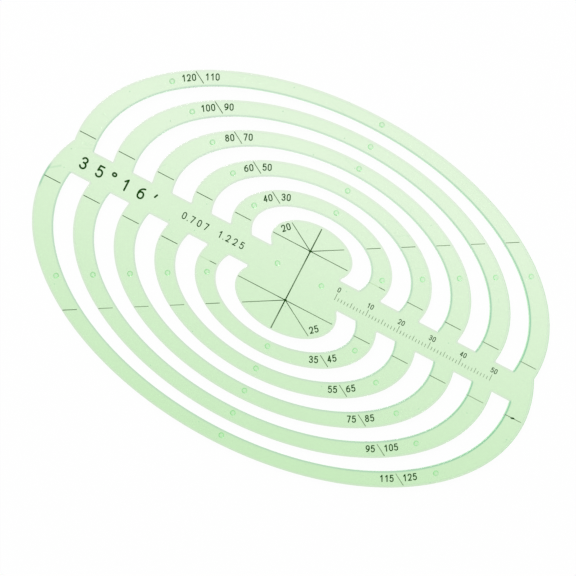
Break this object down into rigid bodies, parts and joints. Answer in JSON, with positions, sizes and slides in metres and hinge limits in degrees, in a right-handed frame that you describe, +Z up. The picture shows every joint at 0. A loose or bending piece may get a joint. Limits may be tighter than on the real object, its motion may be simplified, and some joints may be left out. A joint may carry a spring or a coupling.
{
  "type": "ellipse template",
  "caption": "Clear green drawing template with nested open rings for tracing isometric ellipses, printed centre lines, sizes and a millimetre scale.",
  "frame": {"origin": "middle of the moulding's box, on the surface that the risers stand on", "axes": "+X along the bar, to the right as the numbers are read; +Y towards the half with the even tens; +Z up, out of the printed face"},
  "size_m": [0.1534, 0.1032, 0.0018],
  "materials": {
    "clear_green_plastic": "clear, pale green, polished",
    "printed_line_ink": "thin screen-printed ink, slightly worn",
    "printed_number_ink": "thin screen-printed ink, slightly worn"
  },
  "bodies": {
    "root": {"template_plate": "clear_green_plastic", "centre_lines": "printed_line_ink", "upper_long_axis_ticks": "printed_line_ink", "lower_long_axis_ticks": "printed_line_ink", "upper_ray_ticks": "printed_line_ink", "lower_ray_ticks": "printed_line_ink", "scale_lines": "printed_line_ink", "upper_size_number_01": "printed_number_ink", "upper_size_number_02": "printed_number_ink", "upper_size_number_03": "printed_number_ink", "upper_size_number_04": "printed_number_ink", "upper_size_number_05": "printed_number_ink", "upper_size_number_06": "printed_number_ink", "upper_size_number_07": "printed_number_ink", "upper_size_number_08": "printed_number_ink", "upper_size_number_09": "printed_number_ink", "upper_size_number_10": "printed_number_ink", "upper_size_number_11": "printed_number_ink", "lower_size_number_01": "printed_number_ink", "lower_size_number_02": "printed_number_ink", "lower_size_number_03": "printed_number_ink", "lower_size_number_04": "printed_number_ink", "lower_size_number_05": "printed_number_ink", "lower_size_number_06": "printed_number_ink", "lower_size_number_07": "printed_number_ink", "lower_size_number_08": "printed_number_ink", "lower_size_number_09": "printed_number_ink", "lower_size_number_10": "printed_number_ink", "lower_size_number_11": "printed_number_ink", "short_ratio_number": "printed_number_ink", "long_ratio_number": "printed_number_ink", "angle_number": "printed_number_ink", "scale_numbers": "printed_number_ink"}
  },
  "joints": []
}
